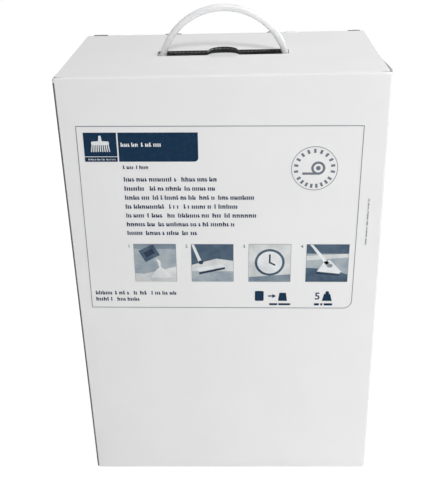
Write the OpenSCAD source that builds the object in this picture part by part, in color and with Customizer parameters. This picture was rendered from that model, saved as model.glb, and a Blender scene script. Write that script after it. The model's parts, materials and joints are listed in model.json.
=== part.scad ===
// White corrugated folding carton with a carry handle, packed with ten sealed pouches of powder.
// The front panel faces -Y, the lid is hinged at the back, and the origin is in the middle of the base.

/* [Carton] */
// Outside width, left to right
carton_w = 240; // [220:1:290]
// Outside depth, front to back
carton_d = 145; // [138:1:180]
// Height of the front panel, from the floor to its top edge
panel_h = 355; // [330:1:420]
// Thickness of the corrugated board
board = 1.6; // [1.2:0.1:2.4]
// Width of the strip that is glued inside the back panel
glue_strip_w = 30; // [20:1:45]

/* [Top flaps] */
// Length of the two side dust flaps, measured in from the side panels
dust_len = 52; // [35:1:54]
// Slant of a dust flap's two ends
dust_taper = 9; // [3:1:20]
// Depth of the inner front flap, from the front panel back
inner_flap_d = 54; // [40:1:55]
// Width of the round tab on the inner flap, under the finger hole
inner_tab_w = 26; // [23:0.5:34]
// How far the round tab reaches from the front panel
inner_tab_reach = 79.5; // [70:0.5:86]

/* [Bottom flaps] */
// Depth of the front bottom flap
bottom_front_d = 66; // [50:1:80]
// Length of the side bottom flaps
bottom_side_len = 62; // [45:1:68]
// Slant of the side bottom flaps
bottom_side_taper = 24; // [10:1:40]
// Width of the locking tongue on the front bottom flap
tongue_w = 72; // [50:1:84]
// Length of the locking tongue
tongue_len = 22; // [14:1:30]

/* [Lid] */
// How far the top of the lid stands above the front panel's top edge
lid_rise = 1.2; // [0.6:0.1:1.4]
// How much the lid is narrower than the carton at each side
lid_side_inset = 1.2; // [0.5:0.1:3]
// Width of the tuck flap, which is also the width of the front fold
tuck_w = 226; // [180:1:226]
// Depth of the tuck flap behind the front panel
tuck_len = 30; // [20:1:34]
// Radius of the tuck flap's lower corners
tuck_corner_r = 18; // [6:1:19]
// Size of the cut-off at the lid's two front corners
lid_corner_cut = 2; // [0.5:0.1:3]
// Distance from the front face of the carton to the middle of the slot
slot_from_front = 70; // [69:0.2:74]
// Width of the slot
slot_w = 17; // [14:0.5:18]
// Radius of the slot's corners
slot_corner_r = 3; // [1:0.5:5]
// Radius of the finger hole's round ends
finger_r = 11.3; // [9:0.1:12]
// Length of the finger hole, front to back
finger_l = 41.4; // [36:0.2:44]
// Length of each cut in the back fold
slit_len = 13; // [6:1:20]
// Depth of each cut in the back fold
slit_deep = 1; // [0.5:0.1:1.4]

/* [Handle] */
// Outer radius of the handle's arch
arch_r = 52.4; // [50:0.2:56]
// How far the centre of the arch lies below the top of the lid
arch_sink = 15.8; // [14:0.2:20]
// Sideways place of the handle in its slot
handle_x = 0.8; // [0:0.1:1.5]
// Thickness of the strap, measured along the arch's radius
strap_t = 4.8; // [3:0.2:6]
// Width of the strap, front to back
strap_w = 8; // [6:0.5:10]
// Rounding of the strap's edges
strap_edge_r = 1.4; // [0.5:0.1:1.4]
// Length of the foot bars, front to back
foot_w = 25; // [20:0.5:25]
// Width of the foot bars, left to right
foot_l = 10; // [8:0.5:12]
// Thickness of the foot bars
foot_t = 3; // [2:0.5:4]
// Gap left between the lowered strap and the sides of the round tab under it
press_gap = 1; // [0.5:0.1:6]

/* [Pouches] */
// Number of layers of pouches
pouch_layers = 5; // [4:1:6]
// Rounding of a pouch's upright corners
pouch_corner_r = 20; // [10:1:24]
// Rounding of a pouch's upper and lower edges
pouch_edge_r = 17; // [8:1:20]
// Depth of the sealed end strips
pouch_seal_d = 5; // [3:0.5:8]
// Thickness of the sealed end strips
pouch_seal_t = 1.2; // [0.8:0.1:2]

/* [Print] */
// Thickness of the ink, a little more than real so that it has a form
ink = 0.12; // [0.1:0.02:0.3]
// Distance from the front panel's left edge to the printed frame
frame_gap_left = 12.2; // [8:0.2:20]
// Distance from the printed frame to the front panel's right edge
frame_gap_right = 18.6; // [12:0.2:24]
// Height of the printed frame
frame_h = 152.6; // [145:0.2:165]
// Distance from the front panel's top edge to the frame
frame_drop = 35.7; // [20:0.1:50]
// Width of the frame's line
frame_line = 0.5; // [0.4:0.1:1.2]
// Radius of the frame's rounded lower right corner
frame_corner_r = 7; // [4:0.5:12]
// Margin between the frame and what is inside it
margin = 5; // [4:0.5:7]
// Width of the dark heading field
heading_w = 84; // [70:1:90]
// Height of the dark heading field
heading_h = 22.4; // [18:0.2:24]
// Width of the heading's first cell
heading_cell_w = 24.3; // [20:0.1:30]
// Height of the strip under the line in the heading's first cell
heading_strip_h = 3.6; // [3:0.1:5]
// Width of the white line between the heading's cells
rule_w = 1.1; // [0.6:0.1:1.6]
// Distance from the heading's left edge to the start of the lines of words
words_indent = 27.8; // [24:0.1:32]
// Distance from the heading down to the middle of the first full line of words
words_drop = 14; // [10:0.1:18]
// Height of a line of printed words
word_h = 3.2; // [2.6:0.1:4]
// Height of the small words
small_word_h = 2.4; // [1.8:0.1:3]
// Distance from the picture squares up to the middle of the last line of words
words_gap = 9.8; // [6:0.1:12]
// Distance from the frame to the middle of the small line that runs up beside it
side_words_gap = 7.2; // [5:0.1:10]
// Side of a printed picture square
tile = 32.6; // [28:0.2:34]
// Distance from the heading's left edge to the first picture square
tiles_indent = 32; // [26:0.5:40]
// Distance from the frame's lower line up to the picture squares
tiles_rise = 24.5; // [20:0.1:30]
// Outer diameter of the printed seal
seal_d = 34.4; // [28:0.2:36]
// Distance from the seal's middle to the frame's right side
seal_gap = 34.5; // [26:0.1:38]
// Distance from the frame's top to the seal's middle
seal_drop = 33; // [24:0.1:38]
// Height of the small signs at the frame's foot
sign_h = 9; // [7:0.1:11]
// Distance from the frame's lower line to the middle of the small signs
sign_rise = 11.2; // [9:0.1:14]
// Distance from the first small sign to the frame's right side
sign_gap = 74; // [60:0.5:80]
// Distance from the weight sign to the frame's right side
weight_gap = 20; // [14:0.5:30]

/* [Fits] */
// Gap between two layers of folded board
layer_gap = 0.2; // [0.1:0.05:0.5]
// Gap at which a loose piece is seated
seat = 0.3; // [0.2:0.05:0.5]
// Running gap of the tuck flap on both of its sides
tuck_gap = 0.4; // [0.3:0.05:0.8]
// Gap between the slot's ends and the handle
slot_end_gap = 0.5; // [0.4:0.1:3]
// Gap between the pouches and between them and the board
pouch_gap = 0.4; // [0.3:0.1:1.5]

/* [Hidden] */
$fn = 48;

// Faces of the carton
half_w = carton_w / 2;
front = -carton_d / 2;
back = carton_d / 2;
fold_x = half_w - board;              // where the front and back panels start to bend
side_low = board + layer_gap;         // underside of the side bottom flaps
floor_z = 2 * board + layer_gap;      // top of the bottom flaps

// Lid and its hinge line, which is the outer corner of the back fold
lid_top = panel_h + lid_rise;
lid_under = lid_top - board;
hinge_y = back;
inner_top = lid_under - seat;         // top of the inner flap and of the back panel
side_top = inner_top - board - layer_gap; // top of the dust flaps
lid_half_w = half_w - lid_side_inset;
lid_front = front + board + tuck_gap;
tuck_r_out = hinge_y - lid_front;
tuck_r_in = tuck_r_out - board;
tuck_slit_w = tuck_w + 2;
tuck_slit_back = lid_front + board + tuck_gap;
dust_front = tuck_slit_back + 2;

// Handle and slot
slot_y = front + slot_from_front;
arch_z = lid_top - arch_sink;
arch_mid_r = arch_r - strap_t / 2;
foot_top = lid_under - seat;
arch_in_r = arch_r - strap_t;
arch_over_tab = sqrt(pow(arch_in_r, 2) - pow(inner_tab_w / 2 + handle_x, 2)) - arch_sink;
handle_travel = arch_over_tab + lid_top - inner_top - press_gap;
foot_x = sqrt(pow(arch_mid_r, 2) - pow(foot_top - foot_t / 2 - arch_z, 2));
slot_half_l = sqrt(pow(arch_r, 2) - pow(arch_sink, 2)) + handle_x + slot_end_gap;

// Pouches fill the carton up to the room that the lowered handle needs
head_room = lid_under - foot_top + foot_t + handle_travel + 4;
stack_top = lid_under - head_room;
pouch_h = (stack_top - floor_z) / pouch_layers - pouch_gap;
pouch_w = (carton_w - 2 * board - 3 * pouch_gap) / 2;
pouch_d = carton_d - 3 * board - 2 * pouch_gap;
pouch_y = front + board + pouch_gap + pouch_d / 2;

// Lengths of the printed words in each line, as multiples of their height
WORD_LINES = [
  [12.8, 8.4], [5.3, 7.5, 7.3], [5.9, 10.3, 3.8, 8.6], [9.7, 2.8, 6.6, 5.6],
  [4.4, 4.1, 1.9, 7.5, 2.2, 7.7], [6.9, 18.4], [3.8, 8.1, 4.1]
];
word_space = 0.6;

// Print, measured from the frame's corners
frame_left = -half_w + frame_gap_left;
frame_right = half_w - frame_gap_right;
frame_w = frame_right - frame_left;
frame_top = panel_h - frame_drop;
frame_low = frame_top - frame_h;
heading_left = frame_left + margin;
heading_top = frame_top - margin;
heading_low = heading_top - heading_h;
words_left = heading_left + words_indent;
words_top = heading_low - words_drop;
tiles_left = heading_left + tiles_indent;
tile_pitch = (frame_right - margin - tile - tiles_left) / 3;
tiles_top = frame_low + tiles_rise + tile;
line_pitch = (words_top - tiles_top - words_gap) / (len(WORD_LINES) - 1);
seal_x = frame_right - seal_gap;
seal_z = frame_top - seal_drop;

function sum_to(list, n) = n == 0 ? 0 : list[n - 1] + sum_to(list, n - 1);

module block(x0, x1, y0, y1, z0, z1) {
  translate([x0, y0, z0]) cube([x1 - x0, y1 - y0, z1 - z0]);
}

module round_rect(w, h, r) {
  square([w - 2 * r, h], center = true);
  square([w, h - 2 * r], center = true);
  for (sx = [-1, 1], sy = [-1, 1])
    translate([sx * (w / 2 - r), sy * (h / 2 - r)]) circle(r = r);
}

// A folded edge of the board along X: a quarter round from the origin towards -Y and +Z
module fold(x0, x1) {
  intersection() {
    translate([x0, 0, 0]) rotate([0, 90, 0]) cylinder(r = board, h = x1 - x0);
    block(x0 - 1, x1 + 1, -board - 1, 0, 0, board + 1);
  }
}

// The same folded edge along Y, from the origin towards +X and +Z
module side_fold(y0, y1) {
  rotate([0, 0, 90]) fold(y0, y1);
}

// An upright folded corner, from the origin towards +X and -Y
module corner_fold(z0, z1) {
  intersection() {
    translate([0, 0, z0]) cylinder(r = board, h = z1 - z0);
    block(0, board + 1, -board - 1, 0, z0 - 1, z1 + 1);
  }
}

// Outline of the inner front flap, seen from above, with its round tab and the slit for the lid
module inner_flap_outline() {
  tab_r = inner_tab_w / 2;
  flap_back = front + inner_flap_d;
  difference() {
    union() {
      polygon([
        [-fold_x, front + board], [fold_x, front + board], [fold_x - 1, front + board + 4],
        [fold_x - 1, flap_back - 8], [fold_x - 9, flap_back],
        [-fold_x + 9, flap_back], [-fold_x + 1, flap_back - 8], [-fold_x + 1, front + board + 4]
      ]);
      translate([0, front + inner_tab_reach - tab_r]) circle(r = tab_r);
      translate([-tab_r, flap_back - 1])
        square([inner_tab_w, inner_tab_reach - tab_r - inner_flap_d + 1]);
    }
    translate([-tuck_slit_w / 2, front]) square([tuck_slit_w, tuck_slit_back - front]);
  }
}

module front_panel() {
  slit_x = tuck_slit_w / 2;
  block(-fold_x, fold_x, front, front + board, board, inner_top - board);
  block(-slit_x, slit_x, front, front + board, inner_top - board, panel_h);
  for (s = [-1, 1])
    translate([0, front + board, inner_top - board])
      fold(min(s * slit_x, s * fold_x), max(s * slit_x, s * fold_x));
  translate([0, 0, inner_top - board]) linear_extrude(board) inner_flap_outline();
  // Bottom fold and flap, with the tongue that locks over the back flap
  translate([0, front + board, board]) mirror([0, 0, 1]) fold(-fold_x, fold_x);
  flap_back = front + bottom_front_d;
  linear_extrude(board)
    polygon([[-fold_x, front + board], [fold_x, front + board], [fold_x - 3, flap_back], [-fold_x + 3, flap_back]]);
  block(-tongue_w / 2, tongue_w / 2, flap_back - board, flap_back, 0, floor_z);
  translate([0, 0, side_low]) linear_extrude(board)
    polygon([
      [-tongue_w / 2, flap_back - board], [tongue_w / 2, flap_back - board],
      [tongue_w / 2, flap_back + tongue_len - 8], [tongue_w / 2 - 8, flap_back + tongue_len],
      [-tongue_w / 2 + 8, flap_back + tongue_len], [-tongue_w / 2, flap_back + tongue_len - 8]
    ]);
}

module back_panel() {
  difference() {
    block(-half_w, fold_x, back - board, back, board, inner_top);
    back_slits(inner_top - slit_deep);
  }
  translate([0, back - board, board]) mirror([0, 1, 0]) mirror([0, 0, 1]) fold(-half_w, fold_x);
  flap_front = front + bottom_front_d + 1;
  linear_extrude(board)
    polygon([
      [-half_w + 1, back - board], [fold_x, back - board],
      [fold_x - 4, flap_front], [-fold_x + 4, flap_front]
    ]);
}

// One side panel with its dust flap and bottom flap, drawn at the right
module side_panel(y1) {
  wall_front = front + board;
  block(fold_x, half_w, wall_front, y1, side_low + board, side_top - board);
  translate([fold_x, 0, side_top - board]) side_fold(dust_front, y1);
  translate([fold_x, 0, side_low + board]) mirror([0, 0, 1]) side_fold(wall_front, y1);
  // The wall's short top edge in front of the dust flap
  block(fold_x, half_w, wall_front, dust_front, side_top - board, side_top);
  dust_end = half_w - dust_len;
  dust_back = back - 2 * board - 1;
  translate([0, 0, side_top - board]) linear_extrude(board)
    polygon([
      [fold_x, dust_front], [fold_x, dust_back],
      [dust_end, dust_back - dust_taper], [dust_end, dust_front + dust_taper]
    ]);
  bottom_end = half_w - bottom_side_len;
  bottom_back = back - 2 * board - 1;
  translate([0, 0, side_low]) linear_extrude(board)
    polygon([
      [fold_x, wall_front], [fold_x, bottom_back],
      [bottom_end, bottom_back - bottom_side_taper], [bottom_end, wall_front + bottom_side_taper]
    ]);
}

// The cuts in the back fold, which make it bend in the right place
module back_slits(z0) {
  for (x = [-half_w + 0.05 * carton_w, -half_w + 0.33 * carton_w, -half_w + 0.665 * carton_w, half_w - 0.035 * carton_w])
    block(x - slit_len / 2, x + slit_len / 2, back - slit_deep, back + 1, z0, lid_top + 1);
}

module carton() {
  color("whitesmoke") {
    front_panel();
    back_panel();
    side_panel(back - board);
    mirror([1, 0, 0]) side_panel(back - 2 * board);
    // Upright folds at both front corners and at the right back corner
    translate([fold_x, front + board, 0]) corner_fold(side_low, side_top);
    mirror([1, 0, 0]) translate([fold_x, front + board, 0]) corner_fold(side_low, side_top);
    translate([fold_x, back - board, 0]) mirror([0, 1, 0]) corner_fold(side_low, side_top);
    // The left side panel turns in behind the back panel and is glued to it
    mirror([1, 0, 0]) translate([fold_x, back - 2 * board, 0]) mirror([0, 1, 0])
      corner_fold(side_low, side_top);
    translate([0, back - board, 0]) rotate([90, 0, 0]) linear_extrude(board)
      polygon([
        [-fold_x, side_low + board], [-fold_x + glue_strip_w, side_low + board + 12],
        [-fold_x + glue_strip_w, side_top - board - 12], [-fold_x, side_top - board]
      ]);
  }
}

module slot_outline() {
  round_rect(2 * slot_half_l, slot_w, slot_corner_r);
  for (s = [-1, 1]) translate([0, s * (finger_l / 2 - finger_r)]) circle(r = finger_r);
}

module lid() {
  cut_x = tuck_w / 2;
  plate_front = lid_front + board;
  color("white") {
    difference() {
      translate([0, 0, lid_under]) linear_extrude(board) difference() {
        polygon([
          [-cut_x, plate_front], [cut_x, plate_front], [cut_x, lid_front],
          [lid_half_w - lid_corner_cut, lid_front], [lid_half_w, lid_front + lid_corner_cut],
          [lid_half_w, back - board], [-lid_half_w, back - board],
          [-lid_half_w, lid_front + lid_corner_cut], [-lid_half_w + lid_corner_cut, lid_front],
          [-cut_x, lid_front]
        ]);
        translate([0, slot_y]) slot_outline();
      }
      back_slits(lid_under - 1);
    }
    // Front fold, then the tuck flap, which curves about the hinge line
    translate([0, plate_front, lid_under]) fold(-cut_x, cut_x);
    intersection() {
      difference() {
        translate([-cut_x, hinge_y, lid_under]) rotate([0, 90, 0])
          cylinder(r = tuck_r_out, h = tuck_w, $fn = 180);
        translate([-cut_x - 1, hinge_y, lid_under]) rotate([0, 90, 0])
          cylinder(r = tuck_r_in, h = tuck_w + 2, $fn = 180);
      }
      translate([0, lid_front + tuck_len, lid_under]) rotate([90, 0, 0]) linear_extrude(2 * tuck_len) intersection() {
        round_rect(tuck_w, 2 * tuck_len, tuck_corner_r);
        translate([-half_w, -tuck_len]) square([carton_w, tuck_len]);
      }
    }
    // Back fold, cut through in four places
    difference() {
      translate([0, back - board, lid_under]) mirror([0, 1, 0]) fold(-lid_half_w, lid_half_w);
      back_slits(lid_under - 1);
    }
  }
}

module handle() {
  color("gainsboro") {
    translate([handle_x, slot_y, arch_z]) intersection() {
      rotate([90, 0, 0]) rotate_extrude($fn = 120)
        translate([arch_mid_r, 0]) round_rect(strap_t, strap_w, strap_edge_r);
      block(-arch_r - 1, arch_r + 1, -strap_w, strap_w, foot_top - foot_t / 2 - arch_z, arch_r + 1);
    }
    for (s = [-1, 1])
      translate([handle_x + s * foot_x, slot_y, foot_top - foot_t]) linear_extrude(foot_t)
        round_rect(foot_l, foot_w, foot_l / 3);
  }
}

// One sealed pillow pouch: a full body with a flat sealed strip at its front and back ends
module pouch(index) {
  side = index % 2 == 0 ? -1 : 1;
  layer = floor(index / 2);
  body_d = pouch_d - 2 * pouch_seal_d;
  edge_r = min(pouch_edge_r, pouch_h / 2 - 1);
  color("lightsteelblue")
    translate([
      side * (pouch_w + pouch_gap) / 2, pouch_y,
      floor_z + pouch_gap + layer * (pouch_h + pouch_gap) + pouch_h / 2
    ]) {
      intersection() {
        linear_extrude(pouch_h, center = true) round_rect(pouch_w, body_d, pouch_corner_r);
        rotate([90, 0, 0]) linear_extrude(body_d, center = true) round_rect(pouch_w, pouch_h, edge_r);
        rotate([90, 0, 90]) linear_extrude(pouch_w, center = true) round_rect(body_d, pouch_h, edge_r);
      }
      cube([pouch_w - 2 * pouch_corner_r, pouch_d, pouch_seal_t], center = true);
    }
}

// Ink on the front panel: an outline in the panel's own X and Z, laid on its face
module ink_layer(level = 0) {
  translate([0, front - level * ink, 0]) rotate([90, 0, 0]) linear_extrude(ink) children();
}

// A field with one rounded corner at its lower right
module field(x, z, w, h, r) {
  difference() {
    translate([x, z]) square([w, h]);
    translate([x + w - r, z - 1]) square([r + 1, r + 1]);
  }
  intersection() {
    translate([x + w - r, z + r]) circle(r = r);
    translate([x + w - r, z]) square([r, r]);
  }
}

module print_frame() {
  color("slategray") ink_layer() difference() {
    field(frame_left, frame_low, frame_w, frame_h, frame_corner_r);
    field(
      frame_left + frame_line, frame_low + frame_line,
      frame_w - 2 * frame_line, frame_h - 2 * frame_line, frame_corner_r - frame_line
    );
  }
}

module print_heading() {
  color("midnightblue") ink_layer() difference() {
    field(heading_left, heading_low, heading_w, heading_h, 0.13 * heading_h);
    translate([heading_left + heading_cell_w, heading_low - 1]) square([rule_w, heading_h + 2]);
    translate([heading_left - 1, heading_low + heading_strip_h]) square([heading_cell_w + 2, rule_w / 2]);
  }
}

// A plain brush mark in the heading's first cell, and a line of words in the second
module print_heading_mark() {
  h = heading_h;
  mark_x = heading_left + heading_cell_w / 2;
  mark_z = heading_top - 0.41 * h;
  color("white") ink_layer(1) {
    translate([mark_x, mark_z + 0.05 * h]) round_rect(0.58 * h, 0.12 * h, 0.05 * h);
    for (i = [-2:2])
      translate([mark_x + (0.11 * i - 0.03) * h, mark_z - 0.24 * h]) square([0.06 * h, 0.24 * h]);
    translate([mark_x - 0.05 * h, mark_z + 0.1 * h]) square([0.1 * h, 0.19 * h]);
    word_row([5.4, 6.3], words_left, mark_z, small_word_h);
  }
}

// A row of words as plain bars. Their lengths are multiples of their height
module word_row(lengths, x, z, h) {
  for (i = [0:len(lengths) - 1])
    translate([x + (sum_to(lengths, i) + i * word_space) * h, z - h / 2]) square([lengths[i] * h, h]);
}

module print_words() {
  color("darkslateblue") ink_layer() {
    word_row([3.3, 3.8], words_left, words_top + 1.3 * line_pitch, small_word_h);
    for (i = [0:len(WORD_LINES) - 1])
      word_row(WORD_LINES[i], words_left, words_top - i * line_pitch, word_h);
    // Two lines at the frame's foot, and a small line that runs up the panel beside the frame
    foot_z = frame_low + sign_rise;
    word_row([6.3, 4.2, 1.3, 3.3, 8.8], frame_left + 0.8 * margin, foot_z + 0.35 * line_pitch, small_word_h);
    word_row([5, 8.8], frame_left + 0.8 * margin, foot_z - 0.43 * line_pitch, small_word_h);
    translate([frame_right + side_words_gap, tiles_top]) rotate(90)
      word_row([5, 7, 4, 6, 8], 0, 0, small_word_h / 2);
  }
}

// Places of the four picture squares, as the middle of each
function tile_x(i) = tiles_left + i * tile_pitch + tile / 2;
tile_z = tiles_top - tile / 2;

module print_pictures() {
  color("lightsteelblue") ink_layer()
    for (i = [0:3]) translate([tile_x(i), tile_z]) square(tile, center = true);
}

// Dark shapes in the pictures: ground fields, a bottle, a roller and a round pad
module print_picture_dark() {
  s = tile;
  color("darkslategray") ink_layer(1) {
    translate([tile_x(0) - s / 2, tile_z - s / 2]) square([s, 0.3 * s]);
    translate([tile_x(1) - s / 2, tile_z - s / 2]) square([s, 0.52 * s]);
    translate([tile_x(2) - 0.06 * s, tile_z + 0.02 * s]) rotate(-38) round_rect(0.62 * s, 0.13 * s, 0.06 * s);
    translate([tile_x(2) - 0.05 * s, tile_z - 0.24 * s]) circle(r = 0.15 * s);
    translate([tile_x(3) - s / 2, tile_z - 0.12 * s]) square([s, 0.62 * s]);
  }
}

// Light shapes in the pictures: a heap, a mat, a cup and a floor
module print_picture_light() {
  s = tile;
  color("white") ink_layer(2) {
    translate([tile_x(0) - 0.04 * s, tile_z - 0.2 * s]) difference() {
      circle(r = 0.3 * s);
      translate([-s, -s]) square([2 * s, s]);
    }
    translate([tile_x(1), tile_z - 0.14 * s]) polygon([
      [-0.3 * s, -0.16 * s], [0.16 * s, -0.16 * s], [0.32 * s, 0.1 * s], [-0.14 * s, 0.1 * s]
    ]);
    translate([tile_x(2) - 0.05 * s, tile_z - 0.24 * s]) circle(r = 0.07 * s);
    translate([tile_x(3), tile_z - 0.02 * s]) polygon([
      [-0.24 * s, -0.1 * s], [0.3 * s, -0.1 * s], [0.1 * s, 0.2 * s], [-0.06 * s, 0.2 * s]
    ]);
  }
}

// One mark of the round seal, at an angle and a share of its radius
module seal_mark(angle, r) {
  rotate(angle) translate([0.8 * r, 0]) square([0.18 * r, 0.1 * r], center = true);
}

// A plain round seal: a thin ring, two arcs of small marks, and a rolled rug in the middle
module print_seal() {
  r = seal_d / 2;
  color("slategray") ink_layer() translate([seal_x, seal_z]) {
    difference() {
      circle(r = r);
      circle(r = r - 0.8 * frame_line);
    }
    for (a = [-10:20:190]) seal_mark(a, r);
    for (a = [214:16:326]) seal_mark(a, r);
    difference() {
      translate([0.16 * r, 0.02 * r]) circle(r = 0.3 * r);
      translate([0.16 * r, 0.02 * r]) circle(r = 0.2 * r);
    }
    translate([0.16 * r, 0.02 * r]) circle(r = 0.1 * r);
    translate([-0.52 * r, -0.28 * r]) square([0.68 * r, 0.1 * r]);
  }
}

// A pouch, an arrow and an open tray, then a weight with a short line of words
module print_signs() {
  h = sign_h;
  sign_x = frame_right - sign_gap;
  sign_z = frame_low + sign_rise;
  color("midnightblue") ink_layer() {
    translate([sign_x, sign_z]) round_rect(0.78 * h, h, 0.11 * h);
    translate([sign_x + 0.78 * h, sign_z - 0.06 * h]) square([0.44 * h, 0.12 * h]);
    translate([sign_x + 1.16 * h, sign_z]) polygon([[0, -0.2 * h], [0.33 * h, 0], [0, 0.2 * h]]);
    translate([sign_x + 2.07 * h, sign_z])
      polygon([[-0.4 * h, -0.49 * h], [0.4 * h, -0.49 * h], [0.29 * h, 0.33 * h], [-0.29 * h, 0.33 * h]]);
    translate([frame_right - weight_gap, sign_z - 0.1 * h]) {
      polygon([[-0.44 * h, -0.38 * h], [0.44 * h, -0.38 * h], [0.27 * h, 0.33 * h], [-0.27 * h, 0.33 * h]]);
      translate([0, 0.44 * h]) circle(r = 0.17 * h, $fn = 24);
    }
    foot_z = sign_z - 0.84 * h;
    word_row([2, 0.8, 3.5], frame_right - 1.5 * weight_gap, foot_z, 0.8 * small_word_h);
    word_row([3.8, 5.6], sign_x + 0.9 * h, foot_z, 0.7 * small_word_h);
  }
}

carton();
lid();
handle();
pouch(0);  // pouch_1
pouch(1);  // pouch_2
pouch(2);  // pouch_3
pouch(3);  // pouch_4
pouch(4);  // pouch_5
pouch(5);  // pouch_6
pouch(6);  // pouch_7
pouch(7);  // pouch_8
pouch(8);  // pouch_9
pouch(9);  // pouch_10
print_frame();
print_heading();
print_heading_mark();
print_words();
print_pictures();
print_picture_dark();
print_picture_light();
print_seal();
print_signs();
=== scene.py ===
# %% [markdown]
# # A white carry carton
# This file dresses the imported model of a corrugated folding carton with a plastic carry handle.
# The frame, which is the CAD model, gives every size and place. Blender adds the camera, the light,
# the materials and the fine shapes that a CAD model leaves out, such as the wavy core of the board.
# All lengths are in metres. The front of the carton faces -Y, X runs to the right and Z up.

# %% Load the frame
import bpy
import bmesh
import json
import math
import random
from mathutils import Matrix, Vector, noise

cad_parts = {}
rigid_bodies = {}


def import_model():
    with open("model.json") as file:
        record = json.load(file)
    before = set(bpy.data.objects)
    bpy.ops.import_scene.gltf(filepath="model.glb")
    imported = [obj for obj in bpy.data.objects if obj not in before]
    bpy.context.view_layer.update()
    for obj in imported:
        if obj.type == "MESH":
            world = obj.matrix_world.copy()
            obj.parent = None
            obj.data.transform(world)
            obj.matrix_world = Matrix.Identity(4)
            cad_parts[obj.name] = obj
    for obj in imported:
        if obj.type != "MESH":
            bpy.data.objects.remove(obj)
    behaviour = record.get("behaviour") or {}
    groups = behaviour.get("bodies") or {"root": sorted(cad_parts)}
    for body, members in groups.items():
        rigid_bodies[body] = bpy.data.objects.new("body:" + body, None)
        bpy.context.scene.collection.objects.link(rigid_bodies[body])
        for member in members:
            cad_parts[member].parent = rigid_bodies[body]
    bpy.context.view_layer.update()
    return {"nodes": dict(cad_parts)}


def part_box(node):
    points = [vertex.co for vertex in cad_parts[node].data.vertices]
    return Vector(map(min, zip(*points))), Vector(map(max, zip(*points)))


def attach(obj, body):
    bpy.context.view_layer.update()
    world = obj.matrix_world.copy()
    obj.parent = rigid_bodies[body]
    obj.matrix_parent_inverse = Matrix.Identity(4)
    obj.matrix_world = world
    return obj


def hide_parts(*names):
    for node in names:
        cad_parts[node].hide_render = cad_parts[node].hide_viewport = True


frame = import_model()
nodes = frame["nodes"]
MM = 0.001

# %% [markdown]
# ## The camera
# The place, the lens and the small roll of the camera were solved from the corners of the carton
# in the photograph. A camera looks along its own -Z, so its matrix is built from three directions:
# right, up, and back along the line of sight.

# %% Camera
CAMERA_AT = Vector((0.0166, -0.6261, 0.4961))
AIM_AT = Vector((-0.0066, -0.0725, 0.2207))
LENS_MM = 57.76
SENSOR_MM = 36.0
ROLL = math.radians(1.674)

look = (AIM_AT - CAMERA_AT).normalized()
level = look.cross(Vector((0, 0, 1))).normalized()
right = level * math.cos(ROLL) + look.cross(level) * math.sin(ROLL)
up = right.cross(look)
camera_data = bpy.data.cameras.new("camera")
camera_data.lens = LENS_MM
camera_data.sensor_width = SENSOR_MM
camera_data.sensor_fit = "AUTO"
camera_data.clip_start = 0.01
camera = bpy.data.objects.new("camera", camera_data)
camera.matrix_world = Matrix((
    (right.x, up.x, -look.x, CAMERA_AT.x),
    (right.y, up.y, -look.y, CAMERA_AT.y),
    (right.z, up.z, -look.z, CAMERA_AT.z),
    (0, 0, 0, 1),
))
bpy.context.scene.collection.objects.link(camera)
bpy.context.scene.camera = camera
bpy.context.scene.view_settings.view_transform = "Standard"
print("camera looks down by", round(math.degrees(math.asin(-look.z)), 1), "degrees")

# %% [markdown]
# ## Light, floor and background
# The photograph was taken in soft studio light and then cut out on white. Area lamps give soft
# shading. The main one stands high in front at the right, a weaker one stands low on that side, and
# one above lights the lid. A small one behind is lower than the lid, so that it lights the back
# panel alone. The world and the floor are white only to the camera and to glossy and transmitted
# rays, so the background is plain white without adding light to the carton.

# %% Lamps
# Name: place, aim, width of the disk, and power in watts
LAMPS = {
    "key": ((0.70, -1.46, 1.85), (0.0, -0.03, 0.24), 0.6, 20.6),
    "low": ((0.74, -0.95, 0.10), (0.04, -0.07, 0.12), 0.4, 4.2),
    "top": ((0.60, 0.0, 1.30), (0.0, 0.0, 0.35), 0.7, 5.9),
    "back": ((0.35, 1.70, 0.24), (0.0, 0.07, 0.20), 0.22, 10),
}
for name, (at, aim, size, watts) in LAMPS.items():
    data = bpy.data.lights.new(name, "AREA")
    data.shape = "DISK"
    data.size = size
    data.energy = watts
    lamp = bpy.data.objects.new(name, data)
    lamp.location = at
    lamp.rotation_euler = (Vector(aim) - Vector(at)).to_track_quat("-Z", "Y").to_euler()
    bpy.context.scene.collection.objects.link(lamp)
print("lamps:", len(LAMPS))

# %% World
WORLD_LIGHT = 0.22


def white_to_camera(tree, shader_output, plain_socket, share=1.0):
    """Mixes a shader with plain white, which only camera, glossy and transmission rays see."""
    nodes_, links = tree.nodes, tree.links
    path = nodes_.new("ShaderNodeLightPath")
    either = nodes_.new("ShaderNodeMath")
    either.operation = "MAXIMUM"
    any_of = nodes_.new("ShaderNodeMath")
    any_of.operation = "MAXIMUM"
    links.new(path.outputs["Is Camera Ray"], either.inputs[0])
    links.new(path.outputs["Is Glossy Ray"], either.inputs[1])
    links.new(either.outputs[0], any_of.inputs[0])
    links.new(path.outputs["Is Transmission Ray"], any_of.inputs[1])
    part = nodes_.new("ShaderNodeMath")
    part.operation = "MULTIPLY"
    part.inputs[1].default_value = share
    links.new(any_of.outputs[0], part.inputs[0])
    mix = nodes_.new("ShaderNodeMixShader")
    links.new(part.outputs[0], mix.inputs[0])
    links.new(shader_output, mix.inputs[1])
    links.new(plain_socket, mix.inputs[2])
    return mix


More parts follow.
